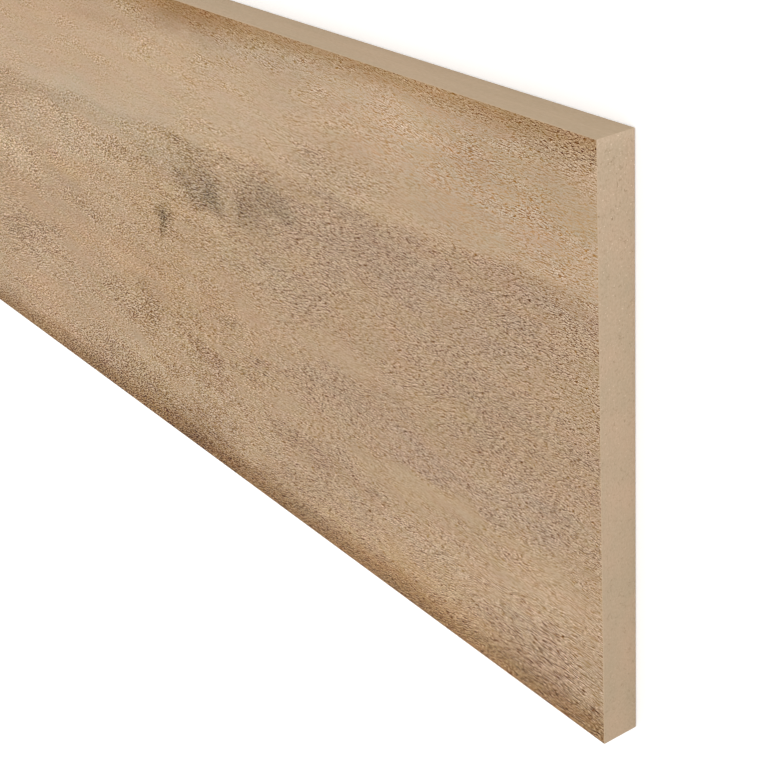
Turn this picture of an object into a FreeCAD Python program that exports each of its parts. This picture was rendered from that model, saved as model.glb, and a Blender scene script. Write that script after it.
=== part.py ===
import FreeCAD, Part
import os

# Stair riser board: one flat length of fibreboard with a printed wood decor on its front face.
# The board lies on its back. X runs along its length, Y across its width towards the edge that
# meets the upper tread, and Z through its thickness towards the decor face. The origin is the
# centre of the back face. Sizes are in millimetres.

# Stock size: 47 in long, 7 3/8 in wide and 1/2 in thick.
BOARD_LENGTH = 1193.8
BOARD_WIDTH = 187.325
BOARD_THICKNESS = 12.7

# The saw and a light sanding leave every arris crisp, with its sharp corner only just taken off.
ARRIS_RADIUS = 0.3


def board_section(x):
    """Square-cornered cross-section of the board, at a place along its length."""
    right = BOARD_WIDTH / 2
    left = -right
    corners = [
        FreeCAD.Vector(x, left, 0),
        FreeCAD.Vector(x, right, 0),
        FreeCAD.Vector(x, right, BOARD_THICKNESS),
        FreeCAD.Vector(x, left, BOARD_THICKNESS),
    ]
    outline = Part.makePolygon(corners + corners[:1])
    return Part.Face(outline)


def riser_board():
    """The board: its section run along the length, with every arris eased."""
    blank = board_section(-BOARD_LENGTH / 2).extrude(FreeCAD.Vector(BOARD_LENGTH, 0, 0))
    return blank.makeFillet(ARRIS_RADIUS, blank.Edges)


os.makedirs("parts", exist_ok=True)
riser_board().exportStep("parts/riser_board.step")
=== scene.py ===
import math
from collections import namedtuple

import bpy
from mathutils import Matrix, Vector


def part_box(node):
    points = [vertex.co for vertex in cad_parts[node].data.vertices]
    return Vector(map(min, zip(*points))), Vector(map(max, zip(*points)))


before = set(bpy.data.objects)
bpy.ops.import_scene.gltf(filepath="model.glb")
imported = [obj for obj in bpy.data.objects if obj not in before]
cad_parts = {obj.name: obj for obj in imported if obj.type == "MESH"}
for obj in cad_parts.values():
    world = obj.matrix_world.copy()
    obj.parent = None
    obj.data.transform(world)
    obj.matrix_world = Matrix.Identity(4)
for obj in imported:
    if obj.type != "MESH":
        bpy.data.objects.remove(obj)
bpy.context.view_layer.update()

# The board lies decor face up. Its right-hand end is the one that the picture shows.
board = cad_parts["riser_board"]
board_low, board_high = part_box("riser_board")
MM = 1000
BOARD_WIDTH = (board_high.y - board_low.y) * MM

# Camera, in metres from the foot of the visible end's middle.
CAMERA_EYE = Vector((0.2926, 0.2255, 0.2706))
CAMERA_AIM = Vector((-0.1008, -0.0134, 0.0127))
CAMERA_UP = Vector((-0.335, 0.889, -0.312))
CAMERA_LENS = 76.085
CAMERA_SENSOR = 36
CAMERA_CLIP = 0.01

# Studio, in metres and watts: light levels are set so that a colour renders about as it is written.
WORLD_LIGHT = 0.88
KEY_POWER = 14.0
KEY_SIZE = 2.4
KEY_PLACE = Vector((1.9, 0.5, 2.0))
FLOOR_SIZE = 12.0
FLOOR_ALBEDO = 0.88
FLOOR_FILL = 0.3
FLOOR_DROP = 0.0002

# Colours are written as the eye sees them on a screen, in steps of 0 to 255: a tone, which is the
# mean of red, green and blue, and how far red stands above green and green above blue. Below, red
# and yellow are short for those two.
SCREEN_WHITE = 255
SCREEN_GAMMA = 2.2
DECOR_TONE = 151
DECOR_RED = 27.3
DECOR_YELLOW = 28.0
END_TONE = 165
EDGE_TONE = 164
EDGE_RED = 23.5
END_YELLOW = 26.5
EDGE_YELLOW = 28.0

# Surfaces: all are nearly matt. Relief is in metres.
SPECULAR = 0.15
DECOR_ROUGHNESS = 0.6
DECOR_ROUGHNESS_SWING = -0.06
DECOR_RELIEF = 0.00003
FIBRE_ROUGHNESS = 0.85
FIBRE_ROUGHNESS_SWING = -0.08
END_RELIEF = 0.00006
EDGE_RELIEF = 0.00003

# A layer of noise. Cell is the size of its features in millimetres: along and across the board, and
# through it where the noise fills space. Detail is how many finer octaves it has, and amount is how
# far it swings to either side of zero.
Layer = namedtuple("Layer", "cell seed detail amount", defaults=(0, 1))
SEED_STEP = (7.31, 3.77, 5.13)
NOISE_ROUGHNESS = 0.5

# A soft-edged area of the printed decor. Places and half-sizes are in millimetres, x from the visible
# end and y from the board's middle line, and tilt is in degrees. Tone, red and yellow shift the colour
# in screen steps, flecks changes the flecks' strength, and rim is the share of the half-size over
# which the area fades out.
Area = namedtuple("Area", "x y length width tilt tone flecks red yellow rim", defaults=(0, 0, 0.8))
AREAS = [
    # Flecked islands, most of them below the grain line.
    Area(-110, 32, 62, 18, 4, -2, 0.75, -1, -1),
    Area(-165, 32, 30, 14, 4, 0, 0.45, -1, -1),
    Area(-40, 34, 60, 18, 2, -2, 0.1),
    Area(-150, 28, 55, 16, 0, 3, 0.2),
    Area(-145, 5, 32, 12, 8, 2, 0.45),
    Area(-40, -2, 60, 24, 0, -3, 0.3),
    Area(-136, -27, 46, 13, 6, 2, 0.75),
    Area(-33, -29, 38, 12, 14, 1, 0.4, -2, -2),
    Area(-287, -43, 44, 13, 8, 0, 0.65, -2, 0),
    Area(-392, -40, 44, 14, 8, 0, 1.0),
    Area(-231, -46, 24, 16, 0, 0, 0.6),
    Area(-160, -58, 32, 9, 6, -7, 0.35),
    Area(-35, -72, 34, 15, 0, 1, 0.5),
    Area(-140, -74, 45, 14, 6, 1, 0.5, 0, 1),
    Area(-310, -82, 64, 20, 6, -1, 0.95),
    Area(-245, -86, 50, 16, 12, -11, 0.3, -1, -2),
    Area(-30, -80, 30, 11, 0, -4, 0.4),
    Area(-324, -9, 34, 6, 3, 1, 0.45),
    Area(-139, 55, 24, 9, 14, -6, 0.35),
    # Paler areas.
    Area(-388, 1, 36, 11, 2, 12, 0.35, -2, 1),
    Area(-328, 20, 90, 14, 2, 10, 0.1, -2, -1, 0.5),
    Area(-268, 36, 62, 9, 2, 7, -0.3, -2, -1),
    Area(-175, 62, 45, 14, 10, 1, -0.1, -1, 0),
    Area(-95, 80, 60, 8, 0, 7, 0),
    Area(-145, -12, 80, 7, 2, 4, -0.25),
    Area(-82, -45, 60, 9, 4, 6, -0.2, 0, 2),
    Area(-20, -48, 40, 14, 0, 8, -0.3, 1, 1),
    Area(-300, -24, 90, 10, 2, 4, -0.1, 4, 2),
    Area(-388, -66, 45, 12, 2, 4, -0.1, 4, 2),
    Area(-292, -60, 55, 6, 2, 1, -0.1),
    Area(-212, -3, 22, 12, 0, 2, -0.2),
    Area(-335, 4, 34, 8, 3, 5, 0, 3, 5),
    Area(-60, -62, 90, 14, 2, 7, -0.1, 1, 1),
    Area(-165, -48, 30, 10, 4, 2, -0.35),
    Area(-332, -36, 24, 8, 4, 2, -0.35, 2, 0),
    Area(-185, -20, 34, 9, 4, 2, -0.3),
    Area(-300, 2, 50, 10, 3, 4, 0),
    Area(-210, 12, 20, 6, 0, 5, -0.1),
    Area(-205, 13, 45, 6, 0, 4, 0),
    Area(-175, 0, 32, 8, 4, 4, 0),
    Area(-195, 40, 28, 6, 4, 4, 0.2),
    Area(-140, 37, 28, 6, 4, 5, 0.1),
    Area(-75, 31, 42, 8, 2, 4, 0.1),
    Area(-280, -44, 26, 7, 6, 5, 0),
    Area(-285, -88, 32, 10, 4, 6, 0),
    Area(-205, 39, 26, 5, 4, 7, 0),
    Area(-235, -47, 26, 7, 0, 7, 0),
    Area(-290, -70, 46, 10, 4, 8, 0),
    Area(-128, 60, 28, 7, 0, 5, 0),
    Area(-378, -40, 30, 9, 2, 4, 0.1),
    Area(-260, 12, 26, 9, 0, 4, 0),
    Area(-280, -13, 36, 8, 4, 5, 0),
    Area(-292, -41, 34, 8, 4, 6, 0),
    Area(-285, -88, 34, 8, 0, 4, 0),
    Area(-378, -88, 36, 7, 0, 6, 0),
    Area(-230, -63, 22, 8, 0, 5, 0),
    Area(-188, -84, 24, 7, 0, 5, 0),
    Area(-385, -2, 34, 9, 2, 3, 0),
    Area(-236, 17, 24, 9, 20, 8, 0),
    Area(-228, 29, 26, 7, 0, 5, 0),
    Area(-380, -49, 34, 9, 4, 6, 0),
    Area(-372, -7, 34, 7, 2, 4, 0),
    # Darker areas.
    Area(-25, 76, 64, 18, -4, -7, 0.02, -1, 0),
    Area(-175, 18, 22, 8, 0, -5, 0),
    Area(-275, -18, 32, 7, 2, -7, 0),
    Area(-268, -29, 28, 6, 4, -5, 0),
    Area(-100, -20, 55, 8, 4, -4, 0),
    Area(-222, -2, 30, 8, 0, -4, 0),
    Area(-130, 80, 55, 8, 0, -4, 0),
    Area(-175, -80, 30, 10, 6, -7, 0),
    Area(-130, -60, 36, 8, 4, -5, 0),
    Area(-270, 80, 60, 9, 4, -8, 0),
    Area(-120, 62, 42, 8, 4, -5, 0),
    Area(-200, 80, 60, 9, 0, -4, 0),
    Area(-225, 41, 34, 7, 0, -5, 0.2),
    Area(-355, -29, 36, 8, 4, -2, 0.3),
    Area(-330, -43, 28, 8, 4, -3, 0),
    Area(-330, -80, 36, 8, 4, -3, 0),
    Area(-250, 86, 70, 8, 0, -4, 0),
    Area(-332, -1, 42, 8, 3, -4, -0.25),
    Area(-330, 72, 90, 12, 8, -3, -0.1, 3, 2),
    Area(-62, 58, 60, 11, 0, -3, -0.1, -1, 0),
    # Smoother or livelier, in nearly the same tone.
    Area(-290, 58, 130, 22, 2, -1, -0.1, 1, 1),
    Area(-390, -22, 45, 12, 0, -1, -0.15, 3, 2),
    Area(-178, 58, 40, 16, 10, 0, -0.15),
    Area(-300, 44, 62, 10, 2, 0, -0.3),
    Area(-230, 54, 62, 8, 2, 0, -0.25),
    Area(-342, -22, 42, 8, 2, 0, -0.3),
    Area(-385, -22, 30, 10, 0, 0, -0.2),
    Area(-320, -62, 60, 12, 0, 0, -0.12),
    Area(-80, -46, 42, 16, 4, 0, -0.3),
    Area(-205, 82, 30, 8, 0, 0, -0.4),
    Area(-210, 53, 64, 8, 4, 0, 0.35),
    Area(-252, 38, 26, 8, 0, 0, 0.3),
    Area(-75, 67, 34, 8, 0, 0, 0.2),
    Area(-8, 57, 26, 6, 0, 0, 0.3),
    Area(-122, -44, 26, 8, 0, 0, 0.25),
    # Where the print is greyer or redder.
    Area(-125, 52, 40, 14, 8, -4, 0.1, -2, -1),
    Area(-240, 42, 80, 26, 0, 0, 0, -3, -1),
    Area(-55, 25, 60, 22, 0, -2, 0, -1, -2),
    Area(-85, -30, 36, 12, 4, -3, 0.1, 0, -3),
    Area(-205, -18, 40, 12, 4, 0, 0, 2, 0),
    Area(-385, -80, 45, 14, 0, 0, 0.1, 3, 1),
    Area(-330, 38, 48, 11, 2, 2, -0.1, -4, -2),
    Area(-200, 22, 55, 9, 0, 0, 0, -3, -1),
    Area(-225, 28, 55, 12, 0, 0, 0, -2, -3),
    Area(-225, -60, 65, 28, 0, 0, 0, -1, -2),
    Area(-100, -89, 70, 9, 0, 0, 0, 4, 5),
    Area(-180, 6, 52, 15, 0, 0, 0, -2, -1),
    Area(-285, -75, 52, 20, 0, 0, 0, -2, 0),
    Area(-300, 42, 45, 14, 0, 0, 0, -2, -1),
    Area(-25, 43, 44, 8, 0, -3, 0, 0, -3),
    # Changes to the brown bands along the long edges.
    Area(-215, 90, 58, 11, 2, -24, 0, 4, 3),
    Area(-15, 91, 50, 10, 0, -12, 0.3),
    Area(-135, 91, 75, 8, 0, -5, 0),
    Area(-160, 85, 75, 7, 0, -1, 0, -3, -2),
    Area(-40, -83, 58, 9, 0, -3, 0.1, 1, 1),
    Area(-40, -93, 60, 3.5, 0, 10, 0, 3, 3),
    Area(-265, -92, 90, 12, 0, -1, 0.1, 1, 1),
    Area(-95, -80, 80, 12, 0, 3, 0, 3, 5),
]
# Weathered grey-olive marks, and how much red and yellow go with each step of their tone.
MARKS = [
    Area(-246, 8, 11, 7, 40, -11, 0.9, -1, 3),
    Area(-250, 1, 4.5, 9, -24, -12, 0.6, -1, 3),
    Area(-252, 7, 9, 5, 10, -10, 0.4),
    Area(-220, 26, 28, 13, -4, -8, 0.6),
    Area(-207, 24, 12, 8, -30, -12, 0.2),
    Area(-182, 26, 15, 10, 20, -9, 0.5),
    Area(-162, 33, 18, 8, -5, -10, 0.4),
    Area(-168, 33, 34, 13, 12, -5, 0),
]
MARK_RED = 0.28
MARK_YELLOW = 0.1

# The length over which the areas above were placed. Past it, over a short fade, the print has clouds of
# its own in place of the areas. Lengths here and below are in millimetres.
PICTURED_LENGTH = 420
PICTURED_FADE = 80
BROAD_MOTTLE = Layer((130, 26), seed=18, detail=2, amount=12)
NARROW_MOTTLE = Layer((46, 8), seed=19, detail=2, amount=9)
MOTTLE_FLECKS = Layer((80, 18), seed=20, detail=2, amount=0.8)

# Clouds that push the areas' rims about, the share of that push that the marks take, and the wandering
# of the grain.
CLOUD_ALONG = Layer((26, 10), seed=1, detail=3)
CLOUD_ACROSS = Layer((30, 12), seed=3, detail=3)
PUSH_ALONG = 14
PUSH_ACROSS = 7
MARK_PUSH = 0.25
GRAIN_WANDER = Layer((70, 30), seed=5, amount=5)

# The line along the grain between the pale upper part and the flecked lower part. Past the pictured
# length it drifts and is blurred.
GRAIN_LINE_Y = 50.5
GRAIN_LINE_SLOPE = 0.036
GRAIN_LINE_SWING = 4
GRAIN_LINE_BLUR = 2
LINE_DRIFT = Layer((170, 45), seed=4, detail=3, amount=26)
LINE_DRIFT_BLUR = 16
UPPER_TONE = 11
UPPER_FLECKS = -0.33

# The ground's clouds of tone and colour, and the flecks' strength.
BROAD_TONE = Layer((120, 22), seed=6, detail=2, amount=3)
NARROW_TONE = Layer((34, 3.5), seed=7, detail=2, amount=5)
RED_CLOUD = Layer((18, 6), seed=12, detail=3, amount=5)
YELLOW_CLOUD = Layer((24, 7), seed=15, detail=3, amount=4)
FLECK_CLOUD = Layer((40, 8), seed=8, detail=2, amount=0.5)
FLECK_STRENGTH = 0.62

# Brown scorched bands along the long edges: their width, and how far it swings along the board.
Band = namedtuple("Band", "width swing tone flecks")
TOP_BAND = Band(9, 3, -24, 0)
FOOT_BAND = Band(15, 6, -41, 0.35)
BAND_SWING = Layer((45, 14), seed=9, detail=2)
BAND_RED = 5.5
BAND_YELLOW = 8

# Flecks. Near the visible end they are fine streaks. Between two places further along they give way to
# short, scattered dashes.
DASHES_BEGIN = -120
STREAKS_END = -340
STREAKS = Layer((1.2, 0.32), seed=10)
STREAK_RIM = (0.08, 0.36)
DASH_LENGTH = 3.0
DASH_PITCH = 0.45
DASH_RIM = (0.45, 0.20)
DASH_EVENNESS = 0.7
# Each thin row of flecks slides by itself along the grain, so that they don't line up across it.
ROW_SLIDE = Layer((9, 0.45), seed=16, amount=2.5)
# How the flecks change along the board, for each millimetre: their thickness from a first place on, and
# their length.
FLECK_GROWTH_START = 60
FLECK_GROWTH = 0.0019
STREAK_STRETCH = 0.0010
DASH_SHORTENING = 0.0008
# The streaks are longer near the visible end's lower corner.
LONG_STREAK_REACH = 80
LONG_STREAK_GAIN = 0.55
LONG_STREAKS_FROM = -10
LONG_STREAKS_FULL = -70
# The flecks wander with the grain and sink in a long wave towards the visible end. The dashes lie askew
# to that: over a length of the board their rows climb towards that end.
FLECK_WANDER = 0.3
FLECK_WAVE_LENGTH = 400
FLECK_WAVE_HEIGHT = 12
DASH_CLIMB_LENGTH = 700
DASH_CLIMB = 80
# Beside each fleck is a faint pale copy of it, and between the flecks is a fine grit.
PALE_SHIFT = (0.06, 0.36)
PALE_COPY = 0.2
PALE_GROUND = 0.1
GRIT = Layer((0.5, 0.36), seed=11, amount=0.55)
# How strong the flecks are: in clumps, by the ink's own strength, and by the kind of fleck, with more
# halfway, where streaks and dashes blend. The limits keep flecks from black and what is between from white.
CLUMPS = Layer((14, 4.5), seed=13, detail=2)
CLUMP_LEAST = 0.3
FLECKS_LEAST = 0.15
STREAK_BOOST = 1.65
HALFWAY_BOOST = 1.9
DASH_BOOST = -0.1
FLECK_LIMIT = 1.4
PALE_LIMIT = 1.1
FLECK_TONE = 95
FLECK_RED = 13
FLECK_YELLOW = 34
HALFWAY_TONE = 10
DASH_TONE = 0.3
DASH_RED = 0.2

# A cloud of tint among the flecks, and a place where it is stronger and the flecks are rust-coloured.
TINT = Layer((3.0, 1.2), seed=17)
TINT_RED = 2.0
TINT_YELLOW = -1.5
RUST = Area(-50, 69, 115, 29, -6, 0, 0)
RUST_TINT_RED = 4.0
RUST_TINT_YELLOW = 5.0
RUST_FLECKS = -13

# The sawn end: clouds, fibres, broken ridges of curled fibre, and pale and dark specks that are stronger
# towards its upper edge. Painted light makes the end lighter towards that edge, and a painted highlight
# runs along the edge itself.
END_CLOUD = Layer((60, 11, 7), seed=21, detail=2)
END_CLOUD_TONE = 5
END_CLOUD_RED = 6
END_FIBRE = Layer((9, 0.8, 0.6), seed=22, detail=1)
END_FIBRE_TONE = 7
END_CURL = Layer((30, 3.2, 2.6), seed=23, detail=2)
END_BREAKS = Layer((12, 1.6, 1.6), seed=25)
BREAK_RIM = (0.05, 0.35)
RIDGE_RIM = (0.05, 0.0)
RIDGE_TONE = -16
PALE_SPECKS = Layer((12, 0.6, 0.6), seed=24)
PALE_SPECK_RIM = (0.50, 0.66)
PALE_SPECK_TONE = 38
DARK_SPECKS = Layer((14, 0.9, 0.6), seed=26)
DARK_SPECK_RIM = (0.52, 0.66)
DARK_SPECK_TONE = -24
SPECK_FIBRE_TONE = 6
SPECKS_FAINT_Y = -30
SPECKS_FULL_Y = 70
SPECKS_LEAST = 0.3
# Painted light: the end's tone rises by this many steps for each millimetre towards its upper edge.
END_PAINTED_LIGHT_SLOPE = 0.055
# A painted highlight along the end's upper edge: its width and swing in millimetres, and its tone.
HIGHLIGHT_WIDTH = 5
HIGHLIGHT_SWING = 2
HIGHLIGHT_TONE = 6

# The long edges and the back: faint clouds, streaks along the board, and fuzz.
EDGE_CLOUD = Layer((70, 9, 6), seed=27, detail=2)
EDGE_CLOUD_TONE = 4
EDGE_CLOUD_RED = 3
EDGE_STREAK = Layer((26, 1.6, 1.3), seed=28, detail=1)
EDGE_STREAK_TONE = 4
EDGE_FUZZ = Layer((1.6, 0.7, 0.7), seed=29)
EDGE_FUZZ_TONE = 4

# Polygons whose normal has at least this share along Z are the decor face, and along X the ends.
FACING_UP = 0.95
FACING_END = 0.7


class Graph:
    """The node tree of a material or a world, with a short call for each kind of node."""

    def __init__(self, owner):
        self.owner = owner
        owner.use_nodes = True
        self.tree = owner.node_tree
        self.tree.nodes.clear()

    def feed(self, socket, value):
        """Links a node's output to a socket, or sets the socket to a plain value."""
        if isinstance(value, bpy.types.NodeSocket):
            self.tree.links.new(value, socket)
        else:
            socket.default_value = value

    def node(self, kind, inputs=None, **settings):
        made = self.tree.nodes.new("ShaderNode" + kind)
        for name, value in settings.items():
            setattr(made, name, value)
        for socket, value in (inputs or {}).items():
            self.feed(made.inputs[socket], value)
        return made

    def math(self, operation, *values, clamp=False):
        return self.node("Math", dict(enumerate(values)), operation=operation, use_clamp=clamp).outputs[0]

    def add(self, first, *others):
        total = first
        for value in others:
            total = self.math("ADD", total, value)
        return total

    def times(self, first, second):
        return self.math("MULTIPLY", first, second)

    def mix_in(self, total, shape, amount):
        """Adds an amount of a shape to a running total."""
        return self.math("MULTIPLY_ADD", shape, amount, total) if amount else total

    def blend(self, first, second, share):
        """Goes from the first value to the second as the share goes from 0 to 1."""
        return self.math("MULTIPLY_ADD", share, self.math("SUBTRACT", second, first), first)

    def smooth(self, value, start, end, low=0.0, high=1.0):
        """A smooth step of the value from start to end."""
        inputs = {"Value": value, "From Min": start, "From Max": end, "To Min": low, "To Max": high}
        return self.node("MapRange", inputs, interpolation_type="SMOOTHSTEP").outputs[0]

    def vector(self, operation, *values):
        return self.node("VectorMath", dict(enumerate(values)), operation=operation).outputs[0]

    def point(self, x, y):
        return self.node("CombineXYZ", {"X": x, "Y": y}).outputs[0]

    def place(self, scale, offset):
        """Coordinates in the board's own frame, scaled and then moved."""
        coords = self.node("TexCoord").outputs["Object"]
        return self.node("Mapping", {"Vector": coords, "Location": offset, "Scale": scale}).outputs[0]

    def noise(self, place, layer):
        """A layer of noise. One with two sizes is flat, and one with three fills space."""
        flat = len(layer.cell) == 2
        sizes = (*layer.cell, 1) if flat else layer.cell
        scale = [1 / size for size in sizes]
        shift = [step * layer.seed for step in SEED_STEP]
        scaled = self.node("Mapping", {"Vector": place, "Location": shift, "Scale": scale}).outputs[0]
        inputs = {"Vector": scaled, "Scale": 1.0, "Detail": layer.detail, "Roughness": NOISE_ROUGHNESS}
        value = self.node("TexNoise", inputs, noise_dimensions="2D" if flat else "3D").outputs["Fac"]
        return self.math("MULTIPLY_ADD", value, 2 * layer.amount, -layer.amount)

    def area(self, place, spot):
        """A soft ellipse: 1 in the middle of the spot, falling to 0 at its rim."""
        inputs = {
            "Vector": place,
            "Location": (spot.x, spot.y, 0),
            "Rotation": (0, 0, math.radians(spot.tilt)),
            "Scale": (spot.length, spot.width, 1),
        }
        local = self.node("Mapping", inputs, vector_type="TEXTURE").outputs[0]
        nearness = self.node("TexGradient", {"Vector": local}, gradient_type="SPHERICAL").outputs["Fac"]
        return self.smooth(nearness, 0.0, spot.rim)

    def screen_colour(self, tone, red, yellow):
        """A colour from its screen tone and the steps between its channels."""
        green = self.math("MULTIPLY_ADD", self.math("SUBTRACT", yellow, red), 1 / 3, tone)
        channels = (self.add(green, red), green, self.math("SUBTRACT", green, yellow))
        shares = [self.math("MULTIPLY", value, 1 / SCREEN_WHITE, clamp=True) for value in channels]
        screen = self.node("CombineColor", dict(enumerate(shares))).outputs[0]
        return self.node("Gamma", {"Color": screen, "Gamma": SCREEN_GAMMA}).outputs[0]

    def finish(self, colour, roughness, height, relief):
        """Ends a material's tree in a surface with a fine relief, and returns the material."""
        bump = self.node("Bump", {"Height": height, "Distance": relief, "Strength": 1.0})
        inputs = {
            "Base Color": colour,
            "Roughness": roughness,
            "Specular IOR Level": SPECULAR,
            "Normal": bump.outputs[0],
        }
        surface = self.node("BsdfPrincipled", inputs)
        self.node("OutputMaterial", {"Surface": surface.outputs[0]})
        return self.owner


class Ink:
    """The decor's tone, red, yellow and strength of flecks at each place, as they build up."""

    def __init__(self, graph, tone, flecks, red, yellow):
        self.graph = graph
        self.tone = tone
        self.flecks = flecks
        self.red = red
        self.yellow = yellow

    def shift(self, shape, tone=0, flecks=0, red=0, yellow=0):
        """Adds the given amounts where the shape is."""
        self.tone = self.graph.mix_in(self.tone, shape, tone)
        self.flecks = self.graph.mix_in(self.flecks, shape, flecks)
        self.red = self.graph.mix_in(self.red, shape, red)
        self.yellow = self.graph.mix_in(self.yellow, shape, yellow)


# Places on the decor face: plain, along and across it, as pushed about for the areas and the marks, and
# along the wandering grain. Cloud and wander are what pushes them, and beyond is 1 past the pictured length.
Face = namedtuple("Face", "place along across ragged near grain cloud wander beyond")


def decor_face(graph):
    """The places that all layers of the print share."""
    place = graph.place((MM, MM, 0), (-board_high.x * MM, 0, 0))
    sides = graph.node("SeparateXYZ", {"Vector": place}).outputs
    cloud = graph.noise(place, CLOUD_ACROSS)
    push_along = graph.times(graph.noise(place, CLOUD_ALONG), PUSH_ALONG)
    push = graph.point(push_along, graph.times(cloud, PUSH_ACROSS))
    wander = graph.noise(place, GRAIN_WANDER)
    return Face(
        place=place,
        along=sides["X"],
        across=sides["Y"],
        ragged=graph.vector("ADD", place, push),
        near=graph.vector("ADD", place, graph.vector("MULTIPLY", push, (MARK_PUSH, MARK_PUSH, 0))),
        grain=graph.vector("ADD", place, graph.point(0.0, wander)),
        cloud=cloud,
        wander=wander,
        beyond=graph.smooth(sides["X"], -PICTURED_LENGTH, -PICTURED_LENGTH - PICTURED_FADE),
    )


def decor_ground(graph, face):
    """The first ink: broad tone and colour, and the flecks' strength, above and below the grain line."""
    line = graph.math("MULTIPLY_ADD", face.along, -GRAIN_LINE_SLOPE, face.across)
    line = graph.mix_in(line, face.cloud, GRAIN_LINE_SWING)
    crisp = graph.smooth(line, GRAIN_LINE_Y - GRAIN_LINE_BLUR, GRAIN_LINE_Y + GRAIN_LINE_BLUR)
    drifting = graph.add(line, graph.noise(face.place, LINE_DRIFT))
    soft = graph.smooth(drifting, GRAIN_LINE_Y - LINE_DRIFT_BLUR, GRAIN_LINE_Y + LINE_DRIFT_BLUR)
    above = graph.blend(crisp, soft, face.beyond)
    ink = Ink(
        graph,
        tone=graph.add(graph.noise(face.grain, BROAD_TONE), graph.noise(face.grain, NARROW_TONE), DECOR_TONE),
        flecks=graph.add(graph.noise(face.grain, FLECK_CLOUD), FLECK_STRENGTH),
        red=graph.add(graph.noise(face.grain, RED_CLOUD), DECOR_RED),
        yellow=graph.add(graph.noise(face.grain, YELLOW_CLOUD), DECOR_YELLOW),
    )
    ink.shift(above, tone=UPPER_TONE, flecks=UPPER_FLECKS)
    mottle = graph.add(graph.noise(face.grain, BROAD_MOTTLE), graph.noise(face.grain, NARROW_MOTTLE))
    ink.shift(face.beyond, tone=mottle, flecks=graph.noise(face.grain, MOTTLE_FLECKS))
    return ink


def paint_areas(graph, face, ink):
    """The soft areas, and the grey marks, whose red and yellow follow their tone."""
    for spot in AREAS:
        ink.shift(graph.area(face.ragged, spot), spot.tone, spot.flecks, spot.red, spot.yellow)
    for spot in MARKS:
        red = spot.red + MARK_RED * spot.tone
        yellow = spot.yellow + MARK_YELLOW * spot.tone
        ink.shift(graph.area(face.near, spot), spot.tone, spot.flecks, red, yellow)


def scorch_edges(graph, face, ink):
    """The brown bands, darkest at the edge itself."""
    swing = graph.noise(face.grain, BAND_SWING)
    top_gap = graph.math("SUBTRACT", BOARD_WIDTH / 2, face.across)
    foot_gap = graph.math("ADD", BOARD_WIDTH / 2, face.across)
    for gap, band in ((top_gap, TOP_BAND), (foot_gap, FOOT_BAND)):
        width = graph.math("MULTIPLY_ADD", swing, band.swing, band.width)
        shape = graph.smooth(graph.math("DIVIDE", gap, width), 1.0, 0.0)
        ink.shift(shape, band.tone, band.flecks, BAND_RED, BAND_YELLOW)


def fleck_pattern(graph, face, dashed):
    """The flecks, what is between them, and the rows they lie in. Dashed is 1 where all are dashes."""
    reach = graph.math("MAXIMUM", face.along, -PICTURED_LENGTH)
    growing = graph.math("MINIMUM", graph.add(reach, FLECK_GROWTH_START), 0.0)
    thickness = graph.math("MULTIPLY_ADD", growing, -FLECK_GROWTH, 1.0)
    wave = graph.math("SINE", graph.times(face.along, 1 / FLECK_WAVE_LENGTH))
    rise = graph.mix_in(face.across, face.wander, FLECK_WANDER)
    rise = graph.mix_in(rise, wave, FLECK_WAVE_HEIGHT)
    level = graph.math("DIVIDE", rise, thickness)
    dash_level = graph.add(level, graph.smooth(face.along, 0.0, -DASH_CLIMB_LENGTH, high=DASH_CLIMB))

    near_end = graph.math("TANH", graph.times(face.along, 1 / LONG_STREAK_REACH))
    longest = LONG_STREAK_GAIN * LONG_STREAK_REACH
    low_down = graph.smooth(face.across, LONG_STREAKS_FROM, LONG_STREAKS_FULL, high=longest)
    run = graph.times(face.along, graph.math("MULTIPLY_ADD", reach, STREAK_STRETCH, 1.0))
    run = graph.math("SUBTRACT", run, graph.times(near_end, low_down))
    dash_run = graph.times(face.along, graph.math("MULTIPLY_ADD", reach, -DASH_SHORTENING, 1.0))

    def rows_at(shift, lift):
        flat = graph.point(graph.add(run, shift), graph.add(level, lift))
        return graph.vector("ADD", flat, graph.point(graph.noise(flat, ROW_SLIDE), 0.0))

    def flecks_at(rows, shift, lift):
        streaks = graph.smooth(graph.noise(rows, STREAKS), *STREAK_RIM)
        dash_rows = graph.point(graph.add(dash_run, shift), graph.add(dash_level, lift))
        dash_place = graph.vector("MULTIPLY", dash_rows, (1 / DASH_LENGTH, 1 / DASH_PITCH, 0))
        inputs = {"Vector": dash_place, "Scale": 1.0}
        cells = graph.node("TexVoronoi", inputs, voronoi_dimensions="2D").outputs
        chance = graph.node("SeparateColor", {"Color": cells["Color"]}).outputs[0]
        strength = graph.math("POWER", chance, DASH_EVENNESS)
        dashes = graph.times(graph.smooth(cells["Distance"], *DASH_RIM), strength)
        return graph.blend(streaks, dashes, dashed)

    rows = rows_at(0.0, 0.0)
    dark = flecks_at(rows, 0.0, 0.0)
    pale = flecks_at(rows_at(*PALE_SHIFT), *PALE_SHIFT)
    grit = graph.noise(graph.point(run, level), GRIT)
    between = graph.add(graph.times(pale, PALE_COPY), grit, PALE_GROUND)
    return dark, between, rows


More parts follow.
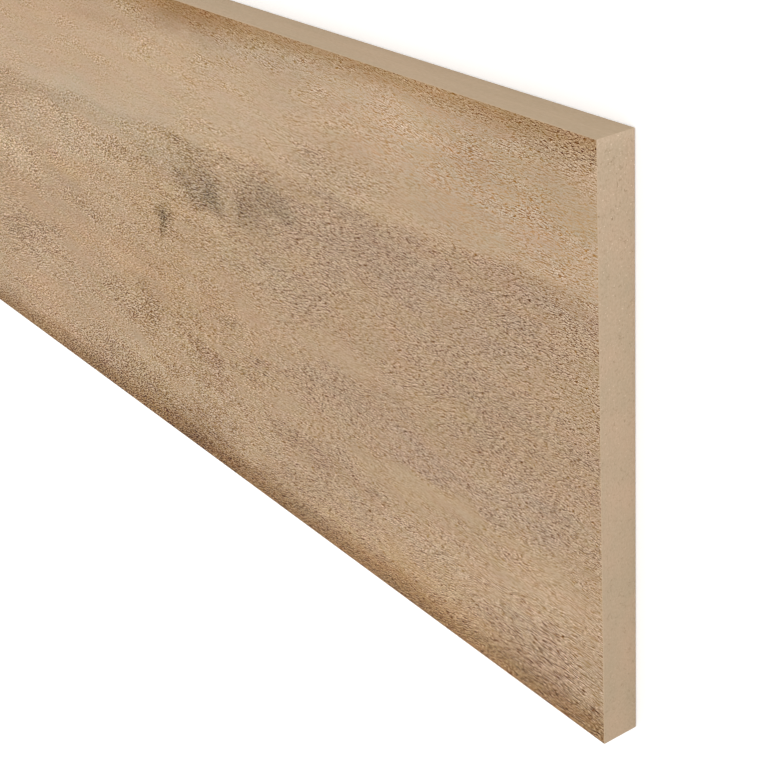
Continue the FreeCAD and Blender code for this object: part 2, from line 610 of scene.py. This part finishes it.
def print_flecks(graph, face, ink):
    """Adds the flecks to the ink. Returns their relief: below zero in a fleck, above it in between."""
    dashed = graph.smooth(face.along, DASHES_BEGIN, STREAKS_END)
    halfway = graph.times(dashed, graph.math("SUBTRACT", 1.0, dashed))
    dark, between, rows = fleck_pattern(graph, face, dashed)
    relief = graph.math("SUBTRACT", between, dark)

    boost = graph.add(graph.times(dashed, DASH_BOOST), graph.times(halfway, HALFWAY_BOOST), STREAK_BOOST)
    clump = graph.math("MAXIMUM", graph.add(graph.noise(face.grain, CLUMPS), 1.0), CLUMP_LEAST)
    strength = graph.times(graph.math("MAXIMUM", ink.flecks, FLECKS_LEAST), graph.times(boost, clump))
    depth = graph.math("MINIMUM", graph.times(dark, strength), FLECK_LIMIT)
    lift = graph.times(between, graph.math("MINIMUM", strength, PALE_LIMIT))
    ink.shift(graph.math("SUBTRACT", lift, depth), tone=FLECK_TONE)
    ink.shift(depth, red=FLECK_RED, yellow=FLECK_YELLOW)
    ink.shift(halfway, tone=HALFWAY_TONE)
    ink.shift(dashed, tone=DASH_TONE, red=DASH_RED)

    rust = graph.area(face.ragged, RUST)
    tint_red = graph.math("MULTIPLY_ADD", rust, RUST_TINT_RED, TINT_RED)
    tint_yellow = graph.math("MULTIPLY_ADD", rust, RUST_TINT_YELLOW, TINT_YELLOW)
    ink.shift(graph.noise(rows, TINT), red=tint_red, yellow=tint_yellow)
    ink.shift(graph.times(rust, relief), red=RUST_FLECKS, yellow=RUST_FLECKS)
    return relief


def decor_material():
    """Printed rustic wood on the front face: pale and dark areas, flecks along the grain, grey marks."""
    graph = Graph(bpy.data.materials.new("decor_print"))
    face = decor_face(graph)
    ink = decor_ground(graph, face)
    paint_areas(graph, face, ink)
    scorch_edges(graph, face, ink)
    relief = print_flecks(graph, face, ink)
    colour = graph.screen_colour(ink.tone, ink.red, ink.yellow)
    roughness = graph.math("MULTIPLY_ADD", relief, DECOR_ROUGHNESS_SWING, DECOR_ROUGHNESS)
    return graph.finish(colour, roughness, relief, DECOR_RELIEF)


def sawn_end_material():
    """Sawn end of the fibreboard: curled fibres, tiny pale and dark specks, painted light that grows towards
    its upper edge, and a painted highlight along that edge.
    """
    graph = Graph(bpy.data.materials.new("sawn_end"))
    place = graph.place((MM, MM, MM), (0, 0, 0))
    across = graph.node("SeparateXYZ", {"Vector": place}).outputs["Y"]
    cloud = graph.noise(place, END_CLOUD)
    fibre = graph.noise(place, END_FIBRE)
    curl = graph.noise(place, END_CURL)
    breaks = graph.smooth(graph.noise(place, END_BREAKS), *BREAK_RIM)
    ridge = graph.times(graph.smooth(graph.math("ABSOLUTE", curl), *RIDGE_RIM), breaks)
    pale = graph.smooth(graph.noise(place, PALE_SPECKS), *PALE_SPECK_RIM)
    dark = graph.smooth(graph.noise(place, DARK_SPECKS), *DARK_SPECK_RIM)
    specks = graph.add(graph.times(pale, PALE_SPECK_TONE), graph.times(dark, DARK_SPECK_TONE),
                       graph.times(fibre, SPECK_FIBRE_TONE))
    speckled = graph.smooth(across, SPECKS_FAINT_Y, SPECKS_FULL_Y, low=SPECKS_LEAST)
    # Painted light towards the upper edge, and a painted highlight along it.
    highlight_place = graph.math("MULTIPLY_ADD", curl, HIGHLIGHT_SWING, across)
    painted_highlight = graph.smooth(highlight_place, BOARD_WIDTH / 2 - HIGHLIGHT_WIDTH, BOARD_WIDTH / 2)
    tone = graph.add(END_TONE, graph.times(across, END_PAINTED_LIGHT_SLOPE), graph.times(cloud, END_CLOUD_TONE),
                     graph.times(fibre, END_FIBRE_TONE), graph.times(ridge, RIDGE_TONE),
                     graph.times(painted_highlight, HIGHLIGHT_TONE), graph.times(specks, speckled))
    red = graph.math("MULTIPLY_ADD", cloud, END_CLOUD_RED, EDGE_RED)
    colour = graph.screen_colour(tone, red, END_YELLOW)
    roughness = graph.math("MULTIPLY_ADD", fibre, FIBRE_ROUGHNESS_SWING, FIBRE_ROUGHNESS)
    return graph.finish(colour, roughness, fibre, END_RELIEF)


def fibreboard_material():
    """Smooth fibreboard of the long edges and the back, with faint streaks along the board."""
    graph = Graph(bpy.data.materials.new("bare_fibreboard"))
    place = graph.place((MM, MM, MM), (0, 0, 0))
    cloud = graph.noise(place, EDGE_CLOUD)
    streak = graph.noise(place, EDGE_STREAK)
    fuzz = graph.noise(place, EDGE_FUZZ)
    tone = graph.add(EDGE_TONE, graph.times(cloud, EDGE_CLOUD_TONE), graph.times(streak, EDGE_STREAK_TONE),
                     graph.times(fuzz, EDGE_FUZZ_TONE))
    red = graph.math("MULTIPLY_ADD", cloud, EDGE_CLOUD_RED, EDGE_RED)
    colour = graph.screen_colour(tone, red, EDGE_YELLOW)
    roughness = graph.math("MULTIPLY_ADD", fuzz, FIBRE_ROUGHNESS_SWING, FIBRE_ROUGHNESS)
    return graph.finish(colour, roughness, fuzz, EDGE_RELIEF)


def dress_board():
    """Decor on the polygons that face up, sawn fibreboard on the ends, smooth fibreboard on the rest."""
    board.data.materials.clear()
    for material in (decor_material(), sawn_end_material(), fibreboard_material()):
        board.data.materials.append(material)
    for polygon in board.data.polygons:
        if polygon.normal.z > FACING_UP:
            polygon.material_index = 0
        else:
            polygon.material_index = 1 if abs(polygon.normal.x) > FACING_END else 2


def camera_ray(graph):
    """1 for what the camera sees directly, in a mirror or through glass, and 0 for the light itself."""
    path = graph.node("LightPath").outputs
    seen = graph.math("MAXIMUM", path["Is Camera Ray"], path["Is Glossy Ray"])
    return graph.math("MAXIMUM", seen, path["Is Transmission Ray"])


def add_floor():
    """A plain white floor that keeps the board's soft shadow."""
    half = FLOOR_SIZE / 2
    corners = [(-half, -half), (half, -half), (half, half), (-half, half)]
    mesh = bpy.data.meshes.new("floor")
    mesh.from_pydata([(x, y, -FLOOR_DROP) for x, y in corners], [], [(0, 1, 2, 3)])
    floor = bpy.data.objects.new("floor", mesh)
    bpy.context.scene.collection.objects.link(floor)
    graph = Graph(bpy.data.materials.new("floor"))
    diffuse = graph.node("BsdfDiffuse", {"Color": (FLOOR_ALBEDO, FLOOR_ALBEDO, FLOOR_ALBEDO, 1)})
    fill = graph.node("Emission", {"Strength": graph.times(camera_ray(graph), FLOOR_FILL)})
    white = graph.node("AddShader", {0: diffuse.outputs[0], 1: fill.outputs[0]})
    graph.node("OutputMaterial", {"Surface": white.outputs[0]})
    mesh.materials.append(graph.owner)


def add_lights():
    """Even light from all round, which the camera sees as white, with one large soft key light."""
    graph = Graph(bpy.data.worlds.new("studio"))
    seen = graph.node("LightPath").outputs["Is Camera Ray"]
    level = graph.node("MapRange", {"Value": seen, "To Min": WORLD_LIGHT, "To Max": 1.0}).outputs[0]
    background = graph.node("Background", {"Color": (1, 1, 1, 1), "Strength": level})
    graph.node("OutputWorld", {"Surface": background.outputs[0]})
    bpy.context.scene.world = graph.owner

    lamp = bpy.data.lights.new("key", "AREA")
    lamp.energy = KEY_POWER
    lamp.size = KEY_SIZE
    key = bpy.data.objects.new("key", lamp)
    key.location = KEY_PLACE
    key.rotation_euler = (-KEY_PLACE).to_track_quat("-Z", "Y").to_euler()
    bpy.context.scene.collection.objects.link(key)


def add_camera():
    """The photograph's view, with the board's upper edge towards the top of the picture."""
    foot = Vector((board_high.x, 0, 0))
    forward = (CAMERA_AIM - CAMERA_EYE).normalized()
    right = forward.cross(CAMERA_UP).normalized()
    up = right.cross(forward)
    lens = bpy.data.cameras.new("camera")
    lens.lens = CAMERA_LENS
    lens.sensor_width = CAMERA_SENSOR
    lens.clip_start = CAMERA_CLIP
    camera = bpy.data.objects.new("camera", lens)
    turn = Matrix((right, up, -forward)).transposed().to_4x4()
    camera.matrix_world = Matrix.Translation(foot + CAMERA_EYE) @ turn
    bpy.context.scene.collection.objects.link(camera)
    bpy.context.scene.camera = camera


dress_board()
add_floor()
add_lights()
add_camera()
bpy.context.scene.view_settings.view_transform = "Standard"
